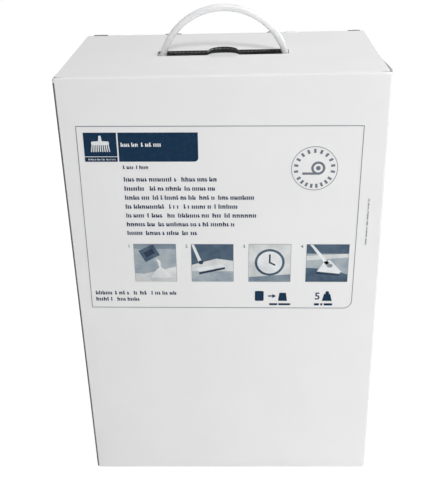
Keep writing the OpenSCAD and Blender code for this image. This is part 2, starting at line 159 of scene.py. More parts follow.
world = bpy.data.worlds.new("studio")
bpy.context.scene.world = world
world.use_nodes = True
tree = world.node_tree
tree.nodes.clear()
dim = tree.nodes.new("ShaderNodeBackground")
dim.inputs["Strength"].default_value = WORLD_LIGHT
white = tree.nodes.new("ShaderNodeBackground")
white.inputs["Strength"].default_value = 1.0
for n in (dim, white):
    n.inputs["Color"].default_value = (1, 1, 1, 1)
mix = white_to_camera(tree, dim.outputs[0], white.outputs[0])
out = tree.nodes.new("ShaderNodeOutputWorld")
tree.links.new(mix.outputs[0], out.inputs["Surface"])
print("light of the world:", WORLD_LIGHT)

# %% [markdown]
# ## The materials
# Each surface gets a procedural material on Object coordinates, so a pattern keeps its real size
# in millimetres. The board is bleached liner paper over a wavy core. It is nearly flat, but the
# core shows through as very weak upright stripes, and the paper is a little cloudy.

# %% Helpers for materials
def new_material(name):
    material = bpy.data.materials.new(name)
    material.use_nodes = True
    tree = material.node_tree
    shader = tree.nodes["Principled BSDF"]
    return material, tree, shader


def coordinates(tree, scale=(1, 1, 1)):
    where = tree.nodes.new("ShaderNodeTexCoord")
    mapping = tree.nodes.new("ShaderNodeMapping")
    mapping.inputs["Scale"].default_value = scale
    tree.links.new(where.outputs["Object"], mapping.inputs["Vector"])
    return mapping.outputs["Vector"]


def noise_at(tree, vector, scale, detail=2.0, rough=0.5):
    node = tree.nodes.new("ShaderNodeTexNoise")
    node.inputs["Scale"].default_value = scale
    node.inputs["Detail"].default_value = detail
    node.inputs["Roughness"].default_value = rough
    tree.links.new(vector, node.inputs["Vector"])
    return node.outputs["Fac"]


def ramp(tree, factor, low, high, low_at=0.0, high_at=1.0):
    node = tree.nodes.new("ShaderNodeValToRGB")
    node.color_ramp.elements[0].position = low_at
    node.color_ramp.elements[0].color = (*low, 1)
    node.color_ramp.elements[1].position = high_at
    node.color_ramp.elements[1].color = (*high, 1)
    tree.links.new(factor, node.inputs["Fac"])
    return node.outputs["Color"]


def bump(tree, height, strength, distance, under=None):
    node = tree.nodes.new("ShaderNodeBump")
    node.inputs["Strength"].default_value = strength
    node.inputs["Distance"].default_value = distance
    tree.links.new(height, node.inputs["Height"])
    if under is not None:
        tree.links.new(under, node.inputs["Normal"])
    return node.outputs["Normal"]


def linear(red, green, blue):
    """A colour given as 0 to 255 on screen, as the linear values that a shader takes."""
    def one(v):
        v /= 255
        return v / 12.92 if v <= 0.04045 else ((v + 0.055) / 1.055) ** 2.4
    return one(red), one(green), one(blue)

# %% White board
FLUTE_PITCH = 3.2 * MM
BOARD_TONE = (236, 236, 236)
WAVE_PERIOD = 2 * math.pi / 20      # length of one band of a Wave texture at scale 1


def board_material(name):
    """White liner paper over a core whose waves run up the panel, or from front to back."""
    material, tree, shader = new_material(name)
    plain = coordinates(tree)
    cloudy = noise_at(tree, plain, 22, 3)
    fibres = noise_at(tree, plain, 2600, 2, 0.6)
    paper = linear(*BOARD_TONE)
    colour = ramp(tree, cloudy, tuple(0.975 * c for c in paper), paper, 0.3, 0.7)
    tree.links.new(colour, shader.inputs["Base Color"])
    wave = tree.nodes.new("ShaderNodeTexWave")
    wave.wave_type = "BANDS"
    wave.bands_direction = "X"
    wave.inputs["Scale"].default_value = WAVE_PERIOD / FLUTE_PITCH
    wave.inputs["Distortion"].default_value = 0.0
    tree.links.new(plain, wave.inputs["Vector"])
    rough = bump(tree, fibres, 0.12, 0.02 * MM)
    washboard = bump(tree, wave.outputs["Fac"], 0.25, 0.02 * MM, rough)
    sag = bump(tree, cloudy, 0.35, 0.4 * MM, washboard)
    tree.links.new(sag, shader.inputs["Normal"])
    shader.inputs["Roughness"].default_value = 0.62
    shader.inputs["Specular IOR Level"].default_value = 0.4
    return material


panel_board = board_material("white board upright flutes")
lid_board = board_material("white board lid")

# %% Milky plastic, pouch film and inks
def plastic_material():
    material, tree, shader = new_material("milky plastic")
    plain = coordinates(tree)
    cloudy = noise_at(tree, plain, 90, 2)
    colour = ramp(tree, cloudy, linear(228, 229, 230), linear(238, 238, 239), 0.3, 0.7)
    tree.links.new(colour, shader.inputs["Base Color"])
    tree.links.new(bump(tree, noise_at(tree, plain, 1500, 2), 0.15, 0.03 * MM), shader.inputs["Normal"])
    shader.inputs["Roughness"].default_value = 0.42
    shader.inputs["Subsurface Weight"].default_value = 0.9
    shader.inputs["Subsurface Radius"].default_value = (1.0, 1.0, 1.0)
    shader.inputs["Subsurface Scale"].default_value = 6 * MM
    return material


def film_material():
    """Pale film: fine creases run away from the seals, over broader dents, and it shines a little."""
    material, tree, shader = new_material("pale pouch film")
    plain = coordinates(tree)
    cloudy = noise_at(tree, plain, 40, 3)
    colour = ramp(tree, cloudy, linear(206, 210, 214), linear(228, 231, 233), 0.3, 0.7)
    tree.links.new(colour, shader.inputs["Base Color"])
    long_creases = noise_at(tree, coordinates(tree, scale=(1, 0.3, 1)), 170, 4, 0.6)
    dents = bump(tree, noise_at(tree, plain, 60, 3), 0.5, 2.2 * MM)
    tree.links.new(bump(tree, long_creases, 0.6, 0.9 * MM, dents), shader.inputs["Normal"])
    shader.inputs["Roughness"].default_value = 0.26
    shader.inputs["Metallic"].default_value = 0.25
    shader.inputs["Coat Weight"].default_value = 0.3
    shader.inputs["Coat Roughness"].default_value = 0.15
    return material


def ink_material(name, tone):
    """Flexographic ink: the colour is a little uneven, with fine specks where the paper shows."""
    material, tree, shader = new_material(name)
    plain = coordinates(tree)
    mottled = noise_at(tree, plain, 260, 3, 0.7)
    base = linear(*tone)
    paler = tuple(c + 0.012 * (1 - c) for c in base)
    colour = ramp(tree, mottled, base, paler, 0.45, 0.9)
    tree.links.new(colour, shader.inputs["Base Color"])
    tree.links.new(bump(tree, noise_at(tree, plain, 2600, 2), 0.12, 0.02 * MM), shader.inputs["Normal"])
    shader.inputs["Roughness"].default_value = 0.6
    shader.inputs["Specular IOR Level"].default_value = 0.15
    return material


milky_plastic = plastic_material()
pouch_film = film_material()
INK_TONES = {
    "grey_ink": (112, 120, 130),
    "navy_ink": (6, 43, 70),
    "white_ink": (226, 228, 230),
    "pale_blue_ink": (165, 178, 188),
    "dark_ink": (62, 78, 92),
    "type_ink": (44, 56, 84),
}
inks = {name: ink_material(name.replace("_", " "), tone) for name, tone in INK_TONES.items()}

# %% Give each node of the frame its material
NODE_MATERIAL = {
    "carton": panel_board, "lid": lid_board, "handle": milky_plastic,
    "print_frame": inks["grey_ink"], "print_heading": inks["navy_ink"],
    "print_heading_mark": inks["white_ink"], "print_words": inks["navy_ink"],
    "print_pictures": inks["pale_blue_ink"], "print_picture_dark": inks["dark_ink"],
    "print_picture_light": inks["white_ink"], "print_seal": inks["grey_ink"],
    "print_signs": inks["navy_ink"],
}
for name, node in nodes.items():
    material = pouch_film if name.startswith("pouch") else NODE_MATERIAL[name]
    node.data.materials.clear()
    node.data.materials.append(material)
print("materials:", len(bpy.data.materials))

# %% A helper that every new piece uses
def finish_piece(bm, name, material, body, smooth=False):
    """Turns a bmesh into an object that rides on a body and takes its finish from a slot."""
    mesh = bpy.data.meshes.new(name)
    bm.to_mesh(mesh)
    bm.free()
    for face in mesh.polygons:
        face.use_smooth = smooth
    piece = bpy.data.objects.new(name, mesh)
    bpy.context.scene.collection.objects.link(piece)
    mesh.materials.append(material)
    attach(piece, body)
    return piece

# %% [markdown]
# ## Cut edges of the board
# Where a corrugated sheet is cut, its edge shows two thin liners with a wavy core between them.
# The CAD solids have plain flat edges. A copy of each solid is merged, its cut faces are inset by
# the thickness of the liners and pushed in, and a wavy ribbon is laid into the groove. Real depth
# is used instead of a painted pattern, because the open flutes then turn dark by themselves.

# %% Values of the board
BOARD = 1.6 * MM
LINER = 0.25 * MM
GROOVE = 2.2 * MM
CORE_PAPER = 0.16 * MM
INNER_X, INNER_Y = 118.4 * MM, 70.9 * MM    # the panels' inner faces
FRONT_FACE = -72.5 * MM
SHARP = math.radians(28)
SHARP_FOLD = math.radians(50)
FLAT = 0.99999          # a face whose normal has a share above this lies square to an axis


# %% Core paper and the painted shade on a fold
def raw_paper_and_painted_shade(name, dark, light):
    """Grey, matt and blotchy paper: the unbleached core, and the painted shade on a fold."""
    material, tree, shader = new_material(name)
    plain = coordinates(tree)
    colour = ramp(tree, noise_at(tree, plain, 900, 3, 0.6), linear(*dark), linear(*light), 0.35, 0.7)
    tree.links.new(colour, shader.inputs["Base Color"])
    tree.links.new(bump(tree, noise_at(tree, plain, 2600, 2), 0.2, 0.03 * MM), shader.inputs["Normal"])
    shader.inputs["Roughness"].default_value = 0.9
    shader.inputs["Specular IOR Level"].default_value = 0.2
    return material


core_paper = raw_paper_and_painted_shade("grey core paper", (96, 95, 93), (128, 127, 125))
# Dark grey that stands in for shade: painted shade on the curve of the left front fold
painted_fold_shade = raw_paper_and_painted_shade("rubbed fold", (98, 98, 101), (122, 122, 125))

# %% Copy a solid and open its cut edges
def solid_copy(node_name):
    """A merged copy of a CAD solid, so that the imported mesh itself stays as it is."""
    bm = bmesh.new()
    bm.from_mesh(nodes[node_name].data)
    bmesh.ops.remove_doubles(bm, verts=bm.verts, dist=1e-6)
    bm.normal_update()
    return bm


def dressed_piece(bm, name, materials, body, node_name):
    """Turns a changed copy into the object that takes a solid's place. Edges turn sharp above
    SHARP, so folds look soft and cut edges crisp."""
    mesh = bpy.data.meshes.new(name)
    bm.to_mesh(mesh)
    print(name, "faces:", len(bm.faces))
    bm.free()
    for material in materials:
        mesh.materials.append(material)
    mesh.shade_smooth()
    mesh.set_sharp_from_angle(angle=SHARP)
    # A large flat panel beside a rounded fold would get a false glow, so flat faces stay flat
    for face in mesh.polygons:
        if max(abs(n) for n in face.normal) > FLAT:
            face.use_smooth = False
    piece = bpy.data.objects.new(name, mesh)
    bpy.context.scene.collection.objects.link(piece)
    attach(piece, body)
    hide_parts(node_name)


def open_edges(bm, is_cut, groove):
    """Turns the faces that is_cut picks into grooves. The liners' edges and the groove's floor
    get the second material, which is the core paper."""
    cut = [f for f in bm.faces if is_cut(f.calc_center_median(), f.normal)]
    rims = bmesh.ops.inset_region(bm, faces=cut, thickness=LINER, depth=0, use_even_offset=False,
                                  use_boundary=True)
    bmesh.ops.inset_region(bm, faces=cut, thickness=0.01 * MM, depth=-groove, use_even_offset=False)
    for face in cut + rims["faces"]:
        face.material_index = 1
    print("cut faces:", len(cut), "rims:", len(rims["faces"]))


def core_ribbon(bm, start, end, inward, thick, depth=GROOVE):
    """A wavy ribbon of core paper from start to end. It lies in the middle of the board's edge,
    reaches into the board along inward, and waves along thick."""
    start, end, inward, thick = Vector(start), Vector(end), Vector(inward), Vector(thick)
    length = (end - start).length
    steps = max(4, round(length / (FLUTE_PITCH / 8)))
    wave_h = (BOARD - 2 * LINER - CORE_PAPER) / 2
    made = bmesh.ops.create_grid(bm, x_segments=steps, y_segments=1, size=0.5)["verts"]
    for v in made:
        along = v.co.x + 0.5
        inside_share = v.co.y + 0.5
        at = start.lerp(end, along)
        wave = wave_h * math.sin(2 * math.pi * along * length / FLUTE_PITCH)
        v.co = at + thick * wave + inward * (0.06 * MM + inside_share * depth)
    return made


# %% The lid's own places, read from its solid
lid_low, lid_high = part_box("lid")
LID_TOP = lid_high.z
LID_MID = LID_TOP - BOARD / 2
LID_SIDE_END = 70 * MM
SLOT_Y = FRONT_FACE + 70 * MM
SLOT_HALF_L = 51.26 * MM
SLOT_HALF_W = 8.5 * MM
SLOT_ZONE_X, SLOT_ZONE_Y = 52 * MM, 22 * MM     # half sizes of a field round the slot
HOLE_R = 11.3 * MM
HOLE_OUT = 9.4 * MM      # from the slot's middle to the centre of the hole's round end
TUCK_START = 5 * MM      # deeper than this below the lid's top, there is only the tuck flap


def slot_half_width(x):
    """Half the slot's width at x, with the round finger hole in its middle."""
    x = abs(x)
    half = SLOT_HALF_W
    if x < HOLE_R:
        half = max(half, HOLE_OUT + math.sqrt(HOLE_R ** 2 - x ** 2))
    return half


def lid_cut(centre, normal):
    """Picks the lid's side edges, the walls of its slot, and the tuck flap's free edges."""
    at_side = abs(normal.x) > 0.99 and abs(centre.x) > lid_high.x - 0.1 * MM
    if at_side and abs(centre.y) < LID_SIDE_END:
        return True
    near_slot = abs(centre.x) < SLOT_ZONE_X and abs(centre.y - SLOT_Y) < SLOT_ZONE_Y
    if near_slot and centre.z > LID_TOP - BOARD and abs(normal.z) < 0.5:
        return True
    return centre.z < LID_TOP - TUCK_START and (normal.z < -0.3 or abs(normal.x) > 0.3)


# %% Open the lid's cut edges
bm = solid_copy("lid")
open_edges(bm, lid_cut, GROOVE)
dressed_piece(bm, "corrugated_lid", [lid_board, core_paper], "lid", "lid")

# %% Core of the lid, round the slot and along the tuck flap
CORE_SHORT = 3 * MM      # the core stops this far before the slot's round ends
TUCK_HALF_L = 94 * MM
TUCK_IN = 4 * MM
slot_end = SLOT_HALF_L - CORE_SHORT
bm = bmesh.new()
for side in (-1, 1):
    made = core_ribbon(bm, (-slot_end, SLOT_Y, LID_MID), (slot_end, SLOT_Y, LID_MID), (0, side, 0), (0, 0, 1))
    for v in made:
        v.co.y += side * slot_half_width(v.co.x)
tuck_low, tuck_mid = lid_low.z, lid_low.y + TUCK_IN
core_ribbon(bm, (-TUCK_HALF_L, tuck_mid, tuck_low), (TUCK_HALF_L, tuck_mid, tuck_low), (0, 0, 1), (0, 1, 0))
bmesh.ops.solidify(bm, geom=bm.faces[:], thickness=CORE_PAPER)
print("faces of the lid's core:", len(bm.faces))
finish_piece(bm, "lid_core", core_paper, "lid", smooth=True)

# %% [markdown]
# ## The body of the carton
# The body's cut edges are at the top of the back panel and at the free ends of the flaps. The round
# tab of the inner flap lies under the finger hole. A thumb has pressed it, so it is cut into small
# faces and given a shallow arch. The curve of the left front corner is painted dark grey as shade.

# %% Carton edges
INNER_TOP = 354.3 * MM
SIDE_TOP = 352.5 * MM
FLAP_END = -18.5 * MM
FLAP_FIELD = (-30 * MM, 10 * MM)     # the free edges of the inner flap, with its tab, lie between
DUST_END = 68 * MM
CARTON_GROOVE = 1.2 * MM


def carton_cut(centre, normal):
    """Picks the back panel's top, and the free edges of the inner flap and of the dust flaps."""
    if normal.z > 0.9 and centre.y > INNER_Y and centre.z > INNER_TOP - 2 * MM:
        return True
    if abs(normal.z) < 0.3 and SIDE_TOP - BOARD < centre.z < INNER_TOP:
        on_inner_flap = centre.z > SIDE_TOP and FLAP_FIELD[0] < centre.y < FLAP_FIELD[1]
        on_dust_flap = centre.z < SIDE_TOP and abs(centre.x) < DUST_END + 0.2 * MM
        return on_inner_flap or on_dust_flap
    return False


# %% The pressed tab
TAB_HALF_W = 14 * MM
TAB_ROOT = FLAP_END
TAB_LEN = 25.5 * MM
TAB_RISE = 2.4 * MM
TAB_FALL = 2.8 * MM
TAB_ARCH_HALF_W = 12 * MM
TAB_CUTS_Y = (-16, -13, -10, -7, -4, -1, 2, 4.5)
TAB_CUTS_X = (-11.5, -9, -6, -3, 0, 3, 6, 9, 11.5)
FLAP_HALF_L = 60 * MM


def press_tab(bm):
    """Cuts the round tab into small faces and gives it a shallow arch: a thumb has pressed its
    free end down, and its middle stands up in the finger hole."""
    def on_flap(face):
        centre = face.calc_center_median()
        at_height = SIDE_TOP + 0.1 * MM < centre.z < INNER_TOP + 0.05 * MM
        return at_height and abs(centre.x) < FLAP_HALF_L
    cuts = [((0, y * MM, 0), (0, 1, 0)) for y in TAB_CUTS_Y]
    cuts += [((x * MM, 0, 0), (1, 0, 0)) for x in TAB_CUTS_X]
    for place, normal in cuts:
        faces = [f for f in bm.faces if on_flap(f)]
        edges = {e for f in faces for e in f.edges}
        verts = {v for f in faces for v in f.verts}
        bmesh.ops.bisect_plane(bm, geom=[*verts, *edges, *faces], dist=1e-7, plane_co=place, plane_no=normal)
    moved = 0
    for v in bm.verts:
        on_tab = abs(v.co.x) < TAB_HALF_W and TAB_ROOT < v.co.y < FLAP_FIELD[1]
        if on_tab and SIDE_TOP < v.co.z < INNER_TOP + 0.1 * MM:
            share = (v.co.y - TAB_ROOT) / TAB_LEN
            rise = TAB_RISE * share - TAB_FALL * share * share
            if rise > 0:
                rise *= max(0.0, 1 - (v.co.x / TAB_ARCH_HALF_W) ** 2)
            v.co.z += rise
            moved += 1
    print("points of the tab:", moved)


# %% Put the body together, with painted shade on the curve of its left front corner
bm = solid_copy("carton")
open_edges(bm, carton_cut, CARTON_GROOVE)
press_tab(bm)
# The curve of the left front fold, which faces away from the lamps, gets painted shade
for face in bm.faces:
    centre = face.calc_center_median()
    if centre.x < -INNER_X and centre.y < -INNER_Y and abs(face.normal.z) < 0.3:
        face.material_index = 2
carton_paper = [panel_board, core_paper, painted_fold_shade]
dressed_piece(bm, "corrugated_carton", carton_paper, "carton", "carton")

# %% Core of the carton's edges
# Each row: start, end, the way into the board, and the way across its thickness
BACK_MID = 71.7 * MM
DUST_Z = SIDE_TOP - BOARD / 2
FLAP_Z = INNER_TOP - BOARD / 2
CORE_ROWS = [((-119 * MM, BACK_MID, INNER_TOP), (117 * MM, BACK_MID, INNER_TOP), (0, 0, -1), (0, 1, 0))]
for side in (-1, 1):
    dust_x = side * DUST_END
    CORE_ROWS.append(((dust_x, -57 * MM, DUST_Z), (dust_x, 58 * MM, DUST_Z), (side, 0, 0), (0, 0, 1)))
    CORE_ROWS.append(((side * TAB_HALF_W, FLAP_END, FLAP_Z), (side * 108 * MM, FLAP_END, FLAP_Z),
                      (0, -1, 0), (0, 0, 1)))
bm = bmesh.new()
for start, end, inward, thick in CORE_ROWS:
    core_ribbon(bm, start, end, inward, thick, CARTON_GROOVE)
bmesh.ops.solidify(bm, geom=bm.faces[:], thickness=CORE_PAPER)
print("rows of core:", len(CORE_ROWS))
finish_piece(bm, "carton_core", core_paper, "carton", smooth=True)

# %% [markdown]
# ## The folds
# A folded corrugated board has no crisp edge. Along the front the fold is a soft bead. Beside the
# lid the folds of the side panels stand up a little, most of all near the front right corner. Each
# fold is a row of outlines with faces between them, and a little noise keeps it from being straight.

# %% A helper that skins a row of outlines
def skin(bm, rings):
    """Joins each outline to the next with faces, and closes both ends."""
    rows = [[bm.verts.new(co) for co in ring] for ring in rings]
    count = len(rows[0])
    for row, after in zip(rows, rows[1:]):
        for i in range(count):
            bm.faces.new((row[i], row[(i + 1) % count], after[(i + 1) % count], after[i]))
    bm.faces.new(rows[0])
    bm.faces.new(rows[-1])
    bmesh.ops.recalc_face_normals(bm, faces=bm.faces)


def fold_piece(name, rings):
    """A fold of white board that is soft along its length and crisp at its ends."""
    bm = bmesh.new()
    skin(bm, rings)
    print(name, "outlines:", len(rings))
    piece = finish_piece(bm, name, panel_board, "carton", smooth=True)
    piece.data.set_sharp_from_angle(angle=SHARP_FOLD)


# %% The soft front fold
# Offsets of the outline in mm: how far behind the front face, and the height above FOLD_BASE
FOLD_OUTLINE = [(-0.03, 2.6), (-0.03, 4.3), (0.1, 4.9), (0.4, 5.4), (0.8, 5.72), (1.2, 5.85),
                (1.5, 5.85), (1.5, 2.6)]
FOLD_ENDS = (118.4, 119.1, 119.6, 119.93)
FOLD_FRONT, FOLD_BASE = -72.5, 350
FOLD_R = 1.6             # the round of the carton's corner
FOLD_DEPTH = 1.52
FOOT_OF_FOLD = 3         # offsets lower than this stay level
END_DROP = 0.25          # how much the fold sinks for each mm past the start of its round end
FOLD_WAVE = 0.12

xs = [-x for x in reversed(FOLD_ENDS)] + list(range(-116, 117, 4)) + list(FOLD_ENDS)
rings = []
for x in xs:
    # Near the ends the fold follows the round of the carton's corner
    past = max(0.0, abs(x) - FOLD_ENDS[0])
    set_back = FOLD_R - math.sqrt(max(0.0, FOLD_R ** 2 - past ** 2))
    drop = END_DROP * past + FOLD_WAVE * noise.noise(Vector((x * 0.06, 0, 0)))
    rings.append([(x * MM, (FOLD_FRONT + min(FOLD_DEPTH, behind + set_back)) * MM,
                   (FOLD_BASE + (up_by if up_by < FOOT_OF_FOLD else up_by - drop)) * MM)
                  for behind, up_by in FOLD_OUTLINE])
fold_piece("front_fold", rings)

# %% Raised folds beside the lid
# Stations in mm: y, how far the crest leans out past the carton's side, and its height
CRESTS = {
    ("right_fold_crest", 1): [
        (-71.6, 0.0, 354.6), (-70.6, 0.5, 355.6), (-69.0, 1.1, 356.4), (-66, 1.3, 356.8), (-61, 0.9, 356.6),
        (-54, 0.5, 356.5), (-46, 0.2, 356.2), (-38, 0.0, 355.8), (-28, 0.0, 355.2), (-10, 0.05, 354.9),
        (15, 0.0, 355.0), (40, 0.05, 354.8), (62, 0.0, 354.7), (69, 0.0, 354.3)],
    ("left_fold_crest", -1): [
        (-71.6, 0.0, 354.6), (-70.0, 0.1, 355.4), (-66, 0.2, 355.6), (-60, 0.2, 355.4), (-48, 0.1, 355.0),
        (-20, 0.0, 354.9), (10, 0.05, 355.0), (40, 0.0, 354.8), (62, 0.05, 354.7), (69, 0.0, 354.3)],
}
SIDE = 120
CREST_WAVE = 0.08 * MM
for (name, side), stations in CRESTS.items():
    rings = []
    for y, lean, top in stations:
        section = [(119.95, 350.5), (SIDE + lean, top - 1.2), (SIDE + lean, top - 0.4),
                   (119.7 + lean, top), (119.35 + 0.5 * lean, top - 0.25), (119.2, top - 0.9), (119.2, 352.4)]
        ring = [Vector((side * px * MM, y * MM, pz * MM)) for px, pz in section]
        for co in ring:
            co.x += side * CREST_WAVE * noise.noise(co * 300)
        rings.append(ring)
    fold_piece(name, rings)

# %% [markdown]
# ## The handle
# The handle is a moulded strap. The copy of its solid loses the part of each foot that would show
# through the slot inside the arch, because the photograph has plain shade there.

# %% Handle
HANDLE_X = 0.8 * MM
STRAP_INNER = 45.5 * MM
FOOT_TOP = 354.35 * MM
bm = solid_copy("handle")
for v in bm.verts:
    if v.co.z < FOOT_TOP and abs(v.co.x - HANDLE_X) < STRAP_INNER:
        v.co.x = HANDLE_X + math.copysign(STRAP_INNER, v.co.x - HANDLE_X)
dressed_piece(bm, "moulded_handle", [milky_plastic], "handle", "handle")

# %% [markdown]
# ## Torn lips on the back fold
# The back fold has four short cuts, so that the lid bends in the right place. When the board
# bends, the lips of the cuts stand up a little, and their raw edges show as short dark lines along
# the lid's far edge. Each lip is a thin wedge: a stretched cube whose top edge is drawn together.

# %% Lips
# Each lip: its left and right ends and its height, in mm
LIPS = [(-113.9, -100.9, 0.85), (-51.6, -37.1, 0.75), (35.9, 42.1, 0.75), (105.2, 116.2, 0.75)]
LIP_Y = 71.0 * MM
LIP_D = 1.5 * MM
LIP_SUNK = 0.1 * MM
LIP_LEAN, LIP_BACK, LIP_TAPER = 0.55 * MM, 0.1 * MM, 0.8 * MM
LIP_TEAR = 0.35 * MM
bm = bmesh.new()
for x0, x1, height in LIPS:
    x0, x1, height = x0 * MM, x1 * MM, height * MM
    middle = (x0 + x1) / 2
    place = Matrix.Translation((middle, LIP_Y, LID_TOP - LIP_SUNK + height / 2))
    made = bmesh.ops.create_cube(bm, size=1, matrix=place @ Matrix.Diagonal((x1 - x0, LIP_D, height, 1)))
    for v in made["verts"]:
        if v.co.z > LID_TOP:
            v.co.y += LIP_LEAN if v.co.y < LIP_Y else -LIP_BACK
            v.co.x += LIP_TAPER if v.co.x < middle else -LIP_TAPER
bmesh.ops.subdivide_edges(bm, edges=bm.edges[:], cuts=3, use_grid_fill=True)
for v in bm.verts:
    if v.co.z > LID_TOP + 0.2 * MM:
        v.co.z -= LIP_TEAR * (0.5 + 0.5 * noise.noise(v.co * 900))
print("lips:", len(LIPS), "faces:", len(bm.faces))
finish_piece(bm, "fold_lips", core_paper, "lid", smooth=True)

# %% Low ridges beside the cuts
# Each ridge: its middle, its width and its height, in mm
RIDGES = [(-92.6, 13.5, 0.9), (56.6, 11.0, 1.0), (-77.0, 7.0, 0.5)]
RIDGE_Y = 69.4 * MM
RIDGE_D = 5 * MM
RIDGE_SUNK = 0.06
RIDGE_FILM = 0.05 * MM
bm = bmesh.new()
for x, width, height in RIDGES:
    for v in bmesh.ops.create_grid(bm, x_segments=24, y_segments=12, size=0.5)["verts"]:
        across, along = 2 * v.co.x, 2 * v.co.y
        swell = (1 - across ** 4) * max(0.0, math.cos(math.pi / 2 * along))
        rise = height * swell * (0.8 + 0.2 * math.sin(9 * across)) - RIDGE_SUNK
        v.co = Vector(((x + across * width / 2) * MM, RIDGE_Y + along * RIDGE_D / 2, LID_TOP + rise * MM))
bmesh.ops.solidify(bm, geom=bm.faces[:], thickness=RIDGE_FILM)
print("ridges:", len(RIDGES))
finish_piece(bm, "fold_ridges", lid_board, "lid", smooth=True)

# %% [markdown]
# ## The pouches
# Ten sealed film pouches fill the carton. A pouch is a pillow of film: full in the middle, drawn
# together at its two sealed ends, with puckers that run away from each seal. Each starts as two
# grids, for the upper and the lower film. The grid's lines are spaced closer near the edges, where
# the film curves most, and every point is only ever moved inwards from the full shape, so a pouch
# stays in the room that its solid holds.

# %% Pouch shape
SEAL_D = 5 * MM
SEAL_T = 1.0 * MM
POUCH_GAP = 0.1 * MM
FILM_SHARE, SEAL_SHARE = 0.9, 0.1    # of the grid's half length: the full part and the flat seal
PUCKER, PUCKERS, PUCKER_REACH = 0.16, 26, 0.16
DENT, SMALL_DENT = 0.12, 0.05
DRAW_IN = 0.05


def film_point(u, along, shift, side):
    """A place on the film: the shares of the half depth and height, and the share of its width."""
    if abs(along) > FILM_SHARE:
        body = 1.0
    else:
        body = math.sin(math.pi / 2 * along / FILM_SHARE)
    full = (1 - abs(u) ** 5) ** 0.42 * (1 - abs(body) ** 4) ** 0.5
    near_seal = math.exp(-(1 - abs(body)) / PUCKER_REACH)
    wander = 4 * noise.noise(shift + Vector((u * 3, 0, side)))
    pucker = near_seal * (1 - abs(body) ** 8) * PUCKER * (0.5 + 0.5 * math.sin(PUCKERS * u + wander))
    dent = DENT * (0.5 + 0.5 * noise.noise(shift + Vector((u * 2.6, body * 2.6, side))))
    dent += SMALL_DENT * (0.5 + 0.5 * noise.noise(shift + Vector((u * 7, body * 5, side))))
    return body, full * (1 - pucker - dent), 1 - DRAW_IN * abs(body) ** 3


def pouch_piece(name, seed):
    low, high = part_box(name)
    centre = (low + high) / 2
    half_w = (high.x - low.x) / 2 - POUCH_GAP
    half_d = (high.y - low.y) / 2
    half_h = (high.z - low.z) / 2 - POUCH_GAP
    body_d = half_d - SEAL_D
    shift = Vector((seed * 3.7, seed * 1.3, seed * 2.1))
    bm = bmesh.new()
    for side in (1, -1):
        film = bmesh.ops.create_grid(bm, x_segments=40, y_segments=52, size=0.5)["verts"]
        faces = {f for v in film for f in v.link_faces}
        for v in film:
            u = math.sin(math.pi * v.co.x)
            along = 2 * v.co.y
            body, height, width = film_point(u, along, shift, side)
            y = body_d * body
            if abs(along) > FILM_SHARE:
                y = math.copysign(body_d + SEAL_D * (abs(along) - FILM_SHARE) / SEAL_SHARE, along)
            z = max(SEAL_T / 2 * (1 - u ** 8), half_h * height)
            v.co = centre + Vector((half_w * u * width, y, side * z))
        if side < 0:
            bmesh.ops.reverse_faces(bm, faces=list(faces))
    bmesh.ops.remove_doubles(bm, verts=bm.verts, dist=0.05 * MM)
    edges = [e for e in bm.edges if e.is_boundary]
    if edges:
        bmesh.ops.holes_fill(bm, edges=edges, sides=0)
    bmesh.ops.recalc_face_normals(bm, faces=bm.faces[:])
    piece = finish_piece(bm, "film_" + name, pouch_film, "carton", smooth=True)
    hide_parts(name)


# %% Make the ten pouches
for number in range(1, 11):
    pouch_piece(f"pouch_{number}", number)

# %% [markdown]
# ## The printed panel
# The print is one pass of dark blue ink and a few paler tints. On the CAD model each tint is a thin
# field. Here the rows of words become rows of small blocks, one for each letter, with uneven widths
# and heights, so that they have the grey of small type without being any lettering. They are built
# as cubes that a matrix stretches and moves into place, all in one mesh, because type of one tint is
# one layer of ink.

# %% Helpers for flat ink
FRONT_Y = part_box("carton")[0].y
INK = 0.12 * MM


def add_bar(bm, x, z, w, h):
    """A flat bar of ink with its lower left corner at x, z."""
    place = Matrix.Translation((x + w / 2, FRONT_Y - 0.5 * INK, z + h / 2))
    bmesh.ops.create_cube(bm, size=1, matrix=place @ Matrix.Diagonal((w, INK, h, 1)))


def add_outline(bm, points, level):
    """A flat field of ink with corners at points of (x, z), in order. Level counts coats below it."""
    y = FRONT_Y - level * INK
    corners = [bm.verts.new((x, y, z)) for x, z in points]
    face = bm.faces.new(corners)
    if face.normal.y > 0 or face.calc_area() == 0:
        face.normal_flip()
    grown = bmesh.ops.extrude_face_region(bm, geom=[face])
    moved = [v for v in grown["geom"] if isinstance(v, bmesh.types.BMVert)]
    bmesh.ops.translate(bm, verts=moved, vec=(0, -INK, 0))
    bmesh.ops.recalc_face_normals(bm, faces=bm.faces)


# %% Rows of small type
WORD_H = 3.6 * MM
WORD_SET = 3.2 * MM      # the lengths of the word lines are multiples of this
SMALL_H = 2.9 * MM
FOOT_H = 3.4 * MM
HEADING_TYPE_H = 3.2 * MM
HEADING_SMALL_H = 1.2 * MM
SIDE_TYPE_H = 1.2 * MM
LETTER_SHARE = 0.66      # width of a letter as a share of the height of capitals
LETTER_GAP = 0.2
WORD_GAP = 0.6
STEM = 0.38              # width of an upright stroke as a share of the letter's width
LOW_LETTER = 0.76
TALL_CHANCE = 0.24
CROSSBAR = 0.22


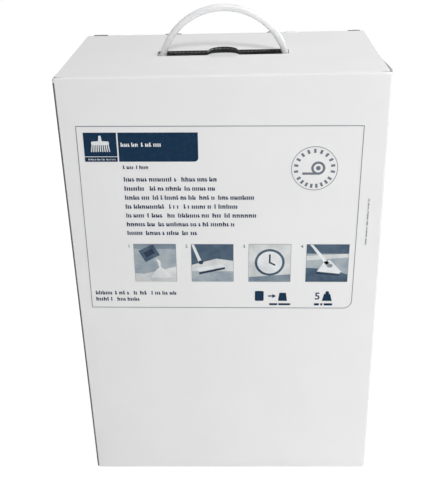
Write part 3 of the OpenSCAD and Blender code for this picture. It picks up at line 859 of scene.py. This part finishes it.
def type_row(bm, lengths, x, z, h, seed):
    """Blocks for the letters of each word. Lengths are multiples of h, and z is the row's middle."""
    chance = random.Random(seed)
    low = z - h / 2
    for length in lengths:
        end = x + length * h
        count = max(1, round(length / (LETTER_SHARE + LETTER_GAP)))
        pitch = length * h / count
        for i in range(count):
            left = x + i * pitch
            w = pitch * (1 - LETTER_GAP)
            tall = chance.random() < TALL_CHANCE or i == 0
            kind = chance.random()
            stem = STEM * w
            add_bar(bm, left, low, stem, h * (1.0 if tall else LOW_LETTER))
            if kind < 0.72:
                add_bar(bm, left + w - stem, low, stem, h * (0.7 if kind < 0.5 else LOW_LETTER))
            if kind < 0.38 or kind > 0.8:
                raised = (0.5 if kind < 0.2 else 0.1) * h
                add_bar(bm, left + stem, low + raised, w - 2 * stem, CROSSBAR * h)
        x = end + WORD_GAP * h


# %% Where the print stands, read from its solids
WORD_LINES = [
    [12.8, 8.4], [5.3, 7.5, 7.3], [5.9, 10.3, 3.8, 8.6], [9.7, 2.8, 6.6, 5.6],
    [4.4, 4.1, 1.9, 7.5, 2.2, 7.7], [6.9, 18.4], [3.8, 8.1, 4.1],
]
frame_low, frame_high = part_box("print_frame")
heading_low, heading_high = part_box("print_heading")
tiles_low, tiles_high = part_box("print_pictures")
TILE = tiles_high.z - tiles_low.z
WORDS_LEFT = heading_low.x + 27.8 * MM
WORDS_TOP = heading_low.z - 14 * MM
LINE_PITCH = (WORDS_TOP - tiles_high.z - 9.8 * MM) / (len(WORD_LINES) - 1)
FOOT_LEFT = frame_low.x + 4 * MM
FOOT_Z = frame_low.z + 11.2 * MM
print("pitch of the lines in mm:", round(LINE_PITCH / MM, 2))

# %% The lines of words
bm = bmesh.new()
type_row(bm, [2.8, 3.2], WORDS_LEFT, WORDS_TOP + 1.3 * LINE_PITCH, SMALL_H, 1)
for number, lengths in enumerate(WORD_LINES):
    shorter = [length * WORD_SET / WORD_H for length in lengths]
    type_row(bm, shorter, WORDS_LEFT, WORDS_TOP - number * LINE_PITCH, WORD_H, 10 + number)
type_row(bm, [4.0, 3.8, 0.9, 2.1, 6.0], FOOT_LEFT, FOOT_Z + 0.35 * LINE_PITCH, FOOT_H, 30)
type_row(bm, [4.4, 5.7], FOOT_LEFT, FOOT_Z - 0.43 * LINE_PITCH, FOOT_H, 31)
print("bars of type:", len(bm.faces) // 6)
type_piece = finish_piece(bm, "printed_type", inks["type_ink"], "carton")
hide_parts("print_words")

# %% The small line that runs up beside the frame
SIDE_TYPE_OUT = 7.2 * MM
bm = bmesh.new()
type_row(bm, [5, 7, 4, 6, 8], 0, 0, SIDE_TYPE_H, 40)
corner = Vector((frame_high.x + SIDE_TYPE_OUT, 0, tiles_high.z))
bmesh.ops.rotate(bm, verts=bm.verts, cent=(0, 0, 0), matrix=Matrix.Rotation(math.radians(-90), 3, "Y"))
bmesh.ops.translate(bm, verts=bm.verts, vec=corner)
print("bars beside the frame:", len(bm.faces) // 6)
finish_piece(bm, "printed_side_type", inks["grey_ink"], "carton")

# %% White marks in the dark heading
HEADING_H = heading_high.z - heading_low.z
CELL_MID = heading_low.x + 24.3 * MM / 2
WHITE_LEVEL = 1
BRISTLES = 9
# Outlines in shares of the heading's height, from the brush's middle
BRUSH = [(-0.29, 0.01), (-0.27, -0.01), (0.27, -0.01), (0.29, 0.01), (0.29, 0.09), (0.27, 0.11),
         (0.06, 0.12), (0.04, 0.29), (0.02, 0.31), (-0.02, 0.31), (-0.04, 0.29), (-0.06, 0.12),
         (-0.27, 0.11), (-0.29, 0.09)]
brush_z = heading_high.z - 0.41 * HEADING_H


def white_mark(bm, points):
    add_outline(bm, [(CELL_MID + x * HEADING_H, brush_z + z * HEADING_H) for x, z in points], WHITE_LEVEL)


bm = bmesh.new()
white_mark(bm, BRUSH)
for i in range(BRISTLES):
    splay = (i - BRISTLES // 2) * 0.066
    foot = 1.14 * splay
    white_mark(bm, [(splay - 0.018, -0.01), (foot - 0.02, -0.24),
                    (foot + 0.016, -0.25), (splay + 0.018, -0.01)])
print("faces of the heading's mark:", len(bm.faces))
heading_mark = finish_piece(bm, "heading_mark", inks["white_ink"], "carton")
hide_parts("print_heading_mark")

# %% White type in the heading
bm = bmesh.new()
type_row(bm, [4.1, 4.7], WORDS_LEFT - 0.6 * MM, brush_z, HEADING_TYPE_H, 50)
type_row(bm, [5, 2, 2.4, 6], heading_low.x + 2.6 * MM, heading_low.z + 1.8 * MM, HEADING_SMALL_H, 51)
bmesh.ops.translate(bm, verts=bm.verts, vec=(0, -INK, 0))
print("bars in the heading:", len(bm.faces) // 6)
finish_piece(bm, "heading_type", inks["white_ink"], "carton")

# %% [markdown]
# ## The picture squares
# Four small pictures show the steps of use, and on the real carton they are photographs in two
# tones. Here each one is a simple scene of its own in the same blue greys: a pouch over a heap,
# a brush on a rug, a clock, and a suction nozzle. The grounds have a soft grain and a slow change
# of tone, which the eye takes for a printed photograph at this size.

# %% Tones of the pictures
GRAIN = 0.3


def picture_material(name, dark, light):
    """A printed photograph's ground: a cloud of two tones with a fine grain over it."""
    material, tree, shader = new_material(name)
    plain = coordinates(tree)
    slow = noise_at(tree, plain, 75, 2, 0.5)
    fine = noise_at(tree, plain, 1400, 2, 0.7)
    both = tree.nodes.new("ShaderNodeMix")
    both.data_type = "FLOAT"
    both.inputs["Factor"].default_value = GRAIN
    tree.links.new(slow, both.inputs[2])
    tree.links.new(fine, both.inputs[3])
    colour = ramp(tree, both.outputs[0], linear(*dark), linear(*light), 0.35, 0.65)
    tree.links.new(colour, shader.inputs["Base Color"])
    shader.inputs["Roughness"].default_value = 0.55
    shader.inputs["Specular IOR Level"].default_value = 0.3
    return material


tones = {
    "mist": picture_material("picture mist", (128, 144, 158), (176, 184, 188)),
    "pale": picture_material("picture pale", (186, 190, 190), (222, 224, 224)),
    "deep": picture_material("picture deep", (38, 62, 86), (78, 98, 116)),
    "middle": picture_material("picture middle", (100, 118, 134), (140, 154, 164)),
    "chalk": picture_material("picture chalk", (206, 210, 212), (234, 236, 237)),
    "night": picture_material("picture night", (16, 36, 58), (34, 54, 76)),
}

# %% Helpers that draw the fields of the pictures
PITCH = (tiles_high.x - tiles_low.x - TILE) / 3
TILES_Z = (tiles_low.z + tiles_high.z) / 2
CENTRES = [Vector((tiles_low.x + TILE / 2 + i * PITCH, 0, TILES_Z)) for i in range(4)]


def inside(value):
    return max(-0.5, min(0.5, value))


def tile_field(bm, picture, points, level):
    """A field in one picture. Points run from -0.5 to 0.5 across the square."""
    centre = CENTRES[picture]
    add_outline(bm, [(centre.x + inside(x) * TILE, centre.z + inside(z) * TILE) for x, z in points], level)


def oval(cx, cz, rx, rz, count=24):
    angles = [math.radians(360 * i / count) for i in range(count)]
    return [(cx + rx * math.cos(a), cz + rz * math.sin(a)) for a in angles]


def turned(points, cx, cz, degrees):
    a = math.radians(degrees)
    return [(cx + (x - cx) * math.cos(a) - (z - cz) * math.sin(a),
             cz + (x - cx) * math.sin(a) + (z - cz) * math.cos(a)) for x, z in points]


def bar(x0, z0, x1, z1):
    return [(x0, z0), (x1, z0), (x1, z1), (x0, z1)]


SQUARE = bar(-0.5, -0.5, 0.5, 0.5)

# %% The four pictures, as fields of tone from the ground up
# Each field: the picture from 0 to 3, its outline, and the half coats of ink below it
PICTURES = {
    "mist": [
        (0, SQUARE, 0), (3, SQUARE, 0),
        (1, bar(-0.5, -0.5, 0.5, -0.22), 1),
    ],
    "pale": [
        (2, SQUARE, 0),
        (0, [(-0.5, -0.5), (0.5, -0.5), (0.5, -0.1), (0.1, -0.2), (-0.3, -0.3), (-0.5, -0.28)], 1),
        (1, [(-0.5, -0.05), (0.1, 0.12), (0.5, 0.06), (0.5, -0.22), (-0.5, -0.22)], 1),
        (3, [(-0.5, 0.08), (0.5, 0.16), (0.5, 0.26), (-0.5, 0.2)], 1),
    ],
    "deep": [
        (1, SQUARE, 0),
        (0, turned(bar(-0.34, 0.1, 0.06, 0.44), -0.14, 0.27, 28), 2),
        (2, oval(0, 0.02, 0.36, 0.36), 1),
        (3, [(-0.5, -0.5), (0.5, -0.5), (0.5, -0.3), (0.1, -0.16), (-0.5, -0.12)], 1),
        (3, bar(-0.5, 0.26, 0.5, 0.5), 1),
    ],
    "chalk": [
        (0, [(-0.12, -0.4), (0.42, -0.4), (0.32, -0.28), (0.2, -0.16), (0.12, -0.1),
             (0.02, -0.18), (-0.06, -0.3)], 2),
        (0, [(0.02, 0.12), (0.12, 0.06), (0.13, -0.1), (0.09, -0.12)], 2),
        (1, turned(bar(-0.32, 0.0, -0.24, 0.62), -0.28, 0.0, 18), 2),
        (1, [(-0.38, -0.14), (0.24, -0.02), (0.3, -0.1), (-0.32, -0.24)], 2),
        (2, oval(0, 0.02, 0.3, 0.3), 2),
        (3, turned(bar(-0.045, -0.02, 0.045, 0.7), 0, 0, 34), 3),
        (3, [(-0.08, 0.04), (0.06, 0.1), (0.34, -0.22), (0.3, -0.28), (-0.24, -0.22)], 3),
    ],
    "night": [
        (0, turned(bar(-0.26, 0.2, -0.02, 0.34), -0.14, 0.27, 28), 3),
        (1, [(-0.33, -0.25), (0.3, -0.11), (0.3, -0.16), (-0.32, -0.31)], 3),
        (1, oval(-0.28, 0.02, 0.06, 0.05), 3),
        (2, turned(bar(-0.02, 0.0, 0.02, 0.24), 0, 0.02, 0), 3),
        (2, turned(bar(-0.02, 0.0, 0.02, 0.17), 0, 0.02, -118), 3),
        (3, [(-0.25, -0.23), (0.31, -0.29), (0.29, -0.33), (-0.25, -0.29)], 4),
    ],
    "middle": [
        (2, [(-0.5, -0.5), (0.5, -0.5), (0.5, -0.3), (-0.5, -0.38)], 0.5),
        (0, bar(-0.5, 0.38, 0.5, 0.5), 0.5),
        (3, oval(0.06, -0.06, 0.07, 0.05), 4),
    ],
}
# For each tone: its slot, and the solid that its piece stands for
TONE_PLACE = {
    "mist": ("pale_blue_ink", "print_pictures"), "pale": ("white_ink", None),
    "deep": ("dark_ink", "print_picture_dark"), "chalk": ("white_ink", "print_picture_light"),
    "night": ("dark_ink", None), "middle": ("pale_blue_ink", None),
}

# %% Draw them, one piece for each tone
for tone, fields in PICTURES.items():
    bm = bmesh.new()
    for picture, points, level in fields:
        tile_field(bm, picture, points, level * 0.5)
    slot, stands_for = TONE_PLACE[tone]
    piece = finish_piece(bm, "picture_" + tone, tones[tone], "carton")
    if stands_for:
        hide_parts(stands_for)
print("tones drawn:", len(PICTURES))

# %% Thin edges round the pictures
bm = bmesh.new()
EDGE = 0.25 * MM
for centre in CENTRES:
    left, low = centre.x - TILE / 2, centre.z - TILE / 2
    add_bar(bm, left - EDGE, low - EDGE, TILE + 2 * EDGE, EDGE)
    add_bar(bm, left - EDGE, low + TILE, TILE + 2 * EDGE, EDGE)
    add_bar(bm, left - EDGE, low, EDGE, TILE)
    add_bar(bm, left + TILE, low, EDGE, TILE)
print("edge bars:", len(bm.faces) // 6)
finish_piece(bm, "picture_edges", inks["grey_ink"], "carton")

# %% [markdown]
# ## Numbers
# The steps are numbered from 1 to 4, and a larger 5 gives the weight. Numbers are plain text
# objects in Blender's own font. A text becomes a mesh before it is moved to its place, so that the
# finished piece sits at the origin like every other one.

# %% Number helper
DIGIT_SHARE = 0.69       # height of a digit as a share of the font's size


def number_piece(name, text, x, z, height, swell, material):
    """A number whose lower left corner is at x, z on the front panel. Swell thickens its strokes."""
    curve = bpy.data.curves.new(name, "FONT")
    curve.body = text
    curve.size = height / DIGIT_SHARE
    curve.extrude = INK / 2
    curve.offset = swell
    curve.resolution_u = 4
    holder = bpy.data.objects.new(name + "_curve", curve)
    bpy.context.scene.collection.objects.link(holder)
    bpy.context.view_layer.update()
    mesh = bpy.data.meshes.new_from_object(holder.evaluated_get(bpy.context.evaluated_depsgraph_get()))
    bpy.data.objects.remove(holder)
    upright = Matrix.Translation((x, FRONT_Y - INK / 2, z)) @ Matrix.Rotation(math.radians(90), 4, "X")
    mesh.transform(upright)
    mesh.name = name
    piece = bpy.data.objects.new(name, mesh)
    bpy.context.scene.collection.objects.link(piece)
    mesh.materials.append(material)
    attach(piece, "carton")


# %% The five numbers
STEP_H, STEP_SWELL = 2.5 * MM, 0.06 * MM
STEP_LEFT, STEP_DOWN = 4.6 * MM, 2.8 * MM    # from the picture's upper left corner
WEIGHT_H, WEIGHT_SWELL = 6.2 * MM, 0.14 * MM
for i, centre in enumerate(CENTRES):
    number_piece(f"step_number_{i + 1}", str(i + 1), centre.x - TILE / 2 - STEP_LEFT,
                 centre.z + TILE / 2 - STEP_DOWN, STEP_H, STEP_SWELL, inks["grey_ink"])
number_piece("weight_number", "5", frame_high.x - 30 * MM, FOOT_Z - 3 * MM, WEIGHT_H, WEIGHT_SWELL,
             inks["type_ink"])
print("numbers: 5")

# %% [markdown]
# ## The print sits a little askew
# Printing, cutting and folding are separate steps, and they are never quite square to each other.
# In the photograph the print is turned by 0.8 degrees against its panel. The plain fields of ink are
# copied from their solids, and then every printed piece is turned about the middle of the frame.

# %% Copies of the plain fields
for node_name, slot in (("print_frame", "grey_ink"), ("print_heading", "navy_ink"),
                        ("print_seal", "grey_ink"), ("print_signs", "navy_ink")):
    field = finish_piece(solid_copy(node_name), "inked" + node_name[5:], inks[slot], "carton")
    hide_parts(node_name)

# %% Turn the print
PRINTED = ("printed_", "heading_", "picture_", "step_number_", "weight_number", "inked_")
PRINT_TURN = math.radians(0.8)
frame_mid = Matrix.Translation(((frame_low.x + frame_high.x) / 2, 0, (frame_low.z + frame_high.z) / 2))
turn = frame_mid @ Matrix.Rotation(PRINT_TURN, 4, "Y") @ frame_mid.inverted()
printed = [piece for piece in bpy.context.scene.objects if piece.name.startswith(PRINTED)]
for piece in printed:
    piece.data.transform(turn)
    piece.data.update()
print("printed pieces turned:", len(printed))

# %% [markdown]
# ## The floor
# A wide plain floor that the camera sees as white, with the carton's soft shadow on it. The shadow
# is kept by mixing white with a little of the real, lit floor.

# %% Floor
FLOOR_SIZE = 6.0
FLOOR_TONE = 0.86
FLOOR_GLOW = 1.22
WHITE_SHARE = 0.78
bm = bmesh.new()
bmesh.ops.create_grid(bm, x_segments=1, y_segments=1, size=FLOOR_SIZE / 2)
mesh = bpy.data.meshes.new("floor")
bm.to_mesh(mesh)
bm.free()
floor = bpy.data.objects.new("floor", mesh)
bpy.context.scene.collection.objects.link(floor)
material, tree, shader = new_material("pale floor")
shader.inputs["Base Color"].default_value = (FLOOR_TONE, FLOOR_TONE, FLOOR_TONE, 1)
shader.inputs["Roughness"].default_value = 0.9
glow = tree.nodes.new("ShaderNodeEmission")
glow.inputs["Color"].default_value = (1, 1, 1, 1)
glow.inputs["Strength"].default_value = FLOOR_GLOW
mix = white_to_camera(tree, shader.outputs[0], glow.outputs[0], WHITE_SHARE)
tree.links.new(mix.outputs[0], tree.nodes["Material Output"].inputs["Surface"])
floor.data.materials.append(material)
print("floor:", FLOOR_SIZE, "m wide")
